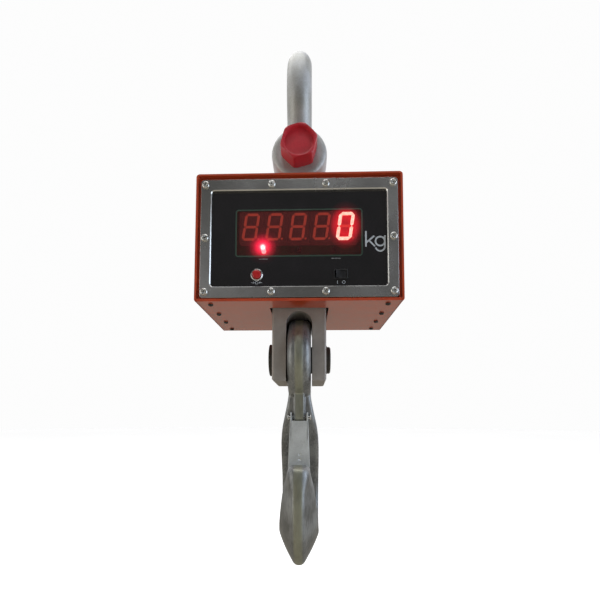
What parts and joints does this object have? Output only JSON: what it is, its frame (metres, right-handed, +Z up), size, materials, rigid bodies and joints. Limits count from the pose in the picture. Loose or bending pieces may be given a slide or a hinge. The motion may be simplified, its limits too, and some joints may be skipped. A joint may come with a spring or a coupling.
{
  "type": "crane scale",
  "caption": "Hanging crane scale: bow shackle, load cell in a sheet-steel case with an LED display, fork and eye hook with a sprung safety latch.",
  "frame": {"origin": "the point inside the shackle's crown where the crane's hook bears", "axes": "+Z up along the load line, -Y towards the reader of the display, +X to that reader's right"},
  "size_m": [0.22, 0.146, 0.6035],
  "materials": {
    "galvanised_steel": "hot-dip galvanised, satin",
    "red_bolt": "semi-gloss enamel",
    "nylon": "matte",
    "alloy_steel": "machined, satin",
    "bronze": "machined",
    "black_oxide": "black oxide, oiled",
    "orange_powder_coat": "gloss powder coat",
    "polished_stainless": "fine brushed stainless",
    "zinc_plate": "bright zinc",
    "spring_steel": "drawn wire",
    "black_rubber": "matte",
    "gloss_black_acrylic": "gloss",
    "red_filter": "clear tinted",
    "digit_body": "matte",
    "led_lens": "clear",
    "circuit_board": "solder mask",
    "board_part": "matte",
    "wire_cover": "PVC",
    "gauge_cover": "satin",
    "red_button": "gloss",
    "black_plastic": "satin",
    "battery_wrap": "shrink film",
    "forged_steel": "shot-blasted and clear coated"
  },
  "bodies": {
    "shackle": {"shackle_bow": "galvanised_steel", "shackle_bolt": "red_bolt", "shackle_nut": "galvanised_steel", "split_pin": "galvanised_steel", "spacer_washers": "nylon"},
    "housing": {"battery_pack": "battery_wrap", "battery_tray": "zinc_plate", "bezel_gasket": "black_rubber", "bezel_nuts": "zinc_plate", "bezel_screws": "polished_stainless", "board_parts": "board_part", "board_standoffs": "zinc_plate", "bottom_plate": "orange_powder_coat", "bottom_screws": "black_oxide", "bracket_screws": "black_oxide", "button_nut": "zinc_plate", "button_ring": "polished_stainless", "cell_brackets": "zinc_plate", "cell_lead": "wire_cover", "charge_socket": "black_plastic", "digit_1": "digit_body", "digit_2": "digit_body", "digit_3": "digit_body", "digit_4": "digit_body", "digit_5": "digit_body", "display_board": "circuit_board", "display_filter": "red_filter", "display_ribbon": "wire_cover", "fork_block": "alloy_steel", "fork_lock_pin": "alloy_steel", "front_bezel": "polished_stainless", "front_panel": "gloss_black_acrylic", "gauge_covers": "gauge_cover", "hook_pin": "black_oxide", "housing_shell": "orange_powder_coat", "indicator_lamps": "led_lens", "lead_plug": "board_part", "load_cell": "alloy_steel", "lug_bush": "bronze", "main_board": "circuit_board", "pin_circlip": "black_oxide", "rear_cover": "orange_powder_coat", "rear_gasket": "black_rubber", "rear_screws": "polished_stainless", "rocker_frame": "black_plastic", "top_seal": "black_rubber"},
    "hook": {"hook": "forged_steel", "latch_pin": "zinc_plate", "latch_spring": "spring_steel"},
    "latch": {"latch": "zinc_plate"},
    "zero_button": {"button_cap": "red_button"},
    "power_rocker": {"rocker": "black_plastic"}
  },
  "joints": [
    {"name": "shackle_swing", "type": "hinge", "parent": "shackle", "child": "housing", "pos_m": [0, 0, -0.1135], "axis": [0, 1, 0], "range_deg": [-80, 80]},
    {"name": "hook_swing", "type": "hinge", "parent": "housing", "child": "hook", "pos_m": [0, 0, -0.339], "axis": [1, 0, 0], "range_deg": [-70, 70]},
    {"name": "latch_open", "type": "hinge", "parent": "hook", "child": "latch", "pos_m": [0, -0.0185, -0.408], "axis": [1, 0, 0], "range_deg": [0, 38], "stiffness_Nm_per_rad": 0.25, "springref_deg": -20.05},
    {"name": "zero_press", "type": "slide", "parent": "housing", "child": "zero_button", "axis": [0, 1, 0], "range_m": [0, 0.0015], "stiffness_N_per_m": 800},
    {"name": "power_switch", "type": "hinge", "parent": "housing", "child": "power_rocker", "pos_m": [0.0445, -0.0565, -0.25675], "axis": [0, 0, 1], "range_deg": [-16, 0]}
  ]
}
